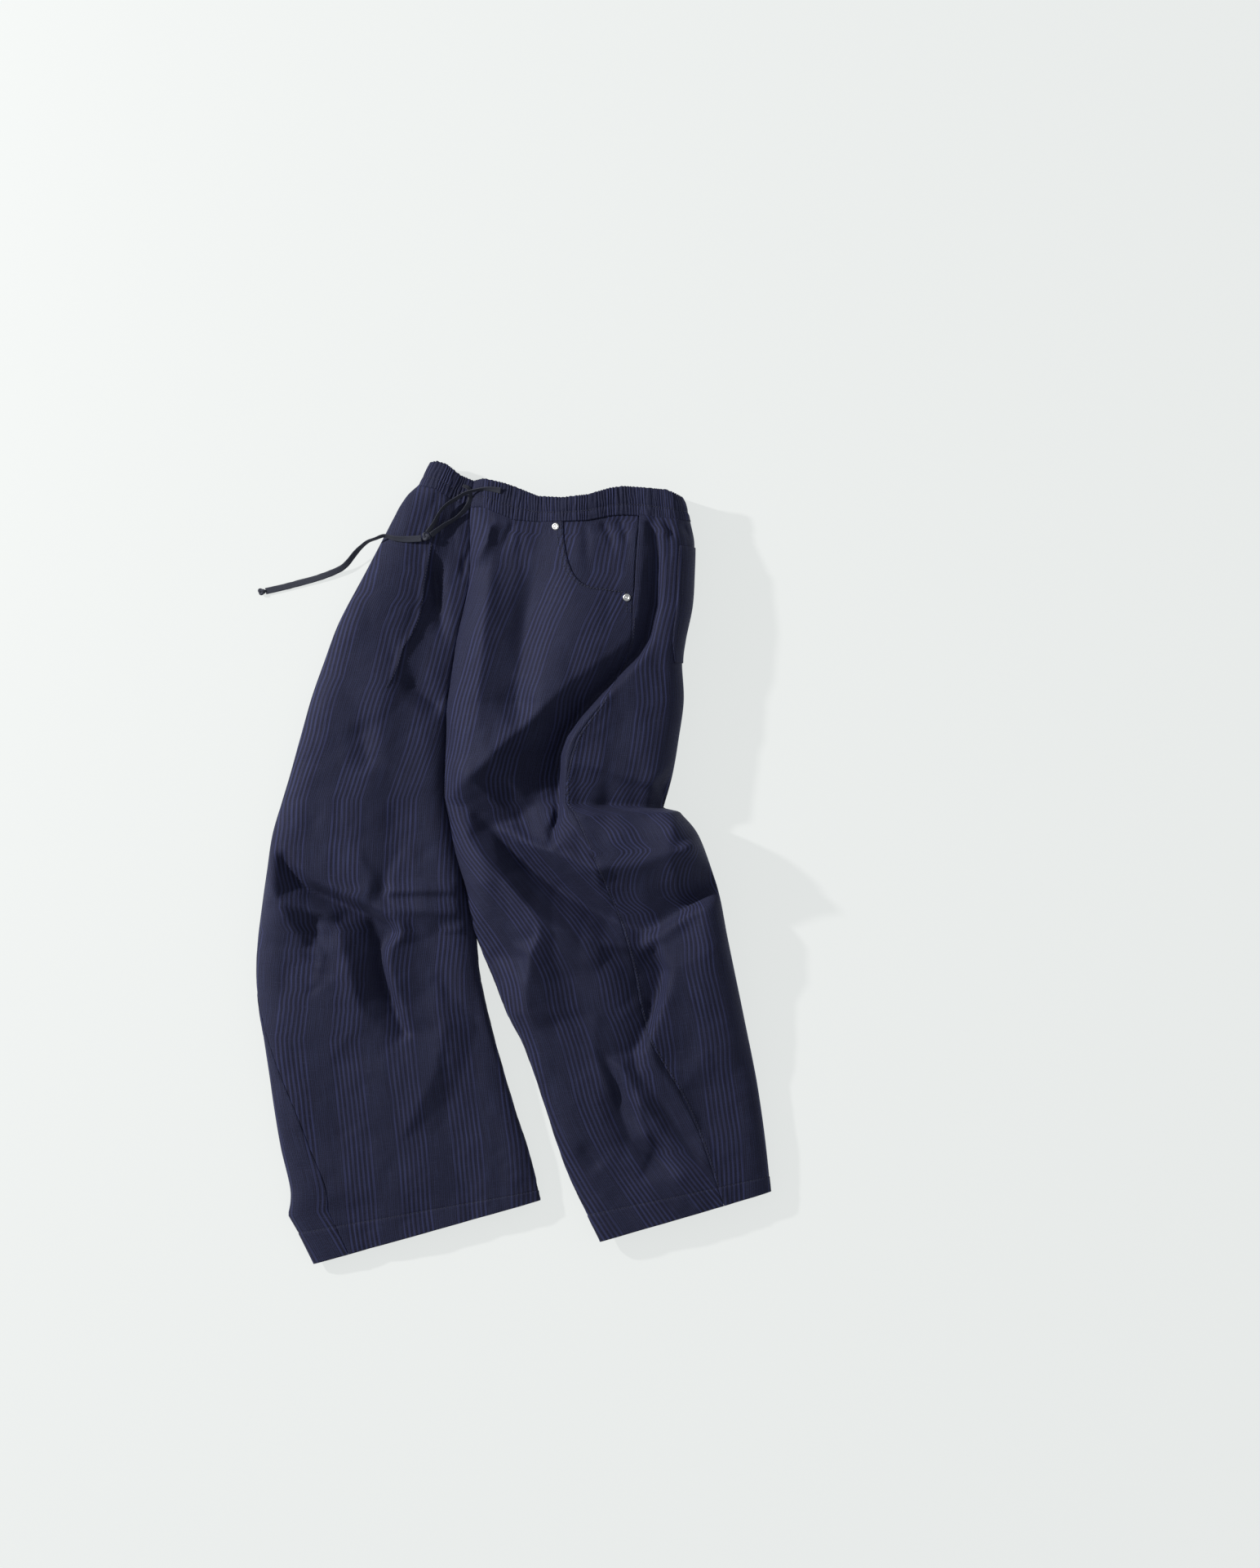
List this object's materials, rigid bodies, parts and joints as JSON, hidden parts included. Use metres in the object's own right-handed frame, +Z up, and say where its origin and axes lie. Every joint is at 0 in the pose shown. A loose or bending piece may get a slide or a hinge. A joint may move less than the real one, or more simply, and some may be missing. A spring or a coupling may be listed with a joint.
{
  "type": "cropped trousers",
  "caption": "Wide cropped trousers in navy striped cotton, laid flat, with gathered elastic waist, tape drawstring and riveted curved pocket.",
  "frame": {"origin": "on the floor, below the middle of the cloth's outline seen from above", "axes": "+Y from the hems to the waist, +X to the wearer's left leg, +Z up, out of the front of the trousers"},
  "size_m": [0.5779, 0.902, 0.0937],
  "materials": {
    "cotton_front_left": "matte",
    "cotton_front_right": "matte",
    "cotton_back_left": "matte",
    "cotton_back_right": "matte",
    "cotton_pocket": "matte",
    "cotton_waistband": "matte",
    "tape": "matte",
    "steel": "brushed"
  },
  "bodies": {
    "root": {"front_left": "cotton_front_left", "front_right": "cotton_front_right", "back_left": "cotton_back_left", "back_right": "cotton_back_right", "waistband": "cotton_waistband", "pocket_facing_left": "cotton_pocket", "back_pocket_left": "cotton_pocket", "rivet_waist": "steel", "rivet_side": "steel", "drawstring_upper": "tape", "drawstring_return": "tape", "drawstring_tail": "tape", "drawstring_knot": "tape", "drawstring_tip": "tape"}
  },
  "joints": []
}
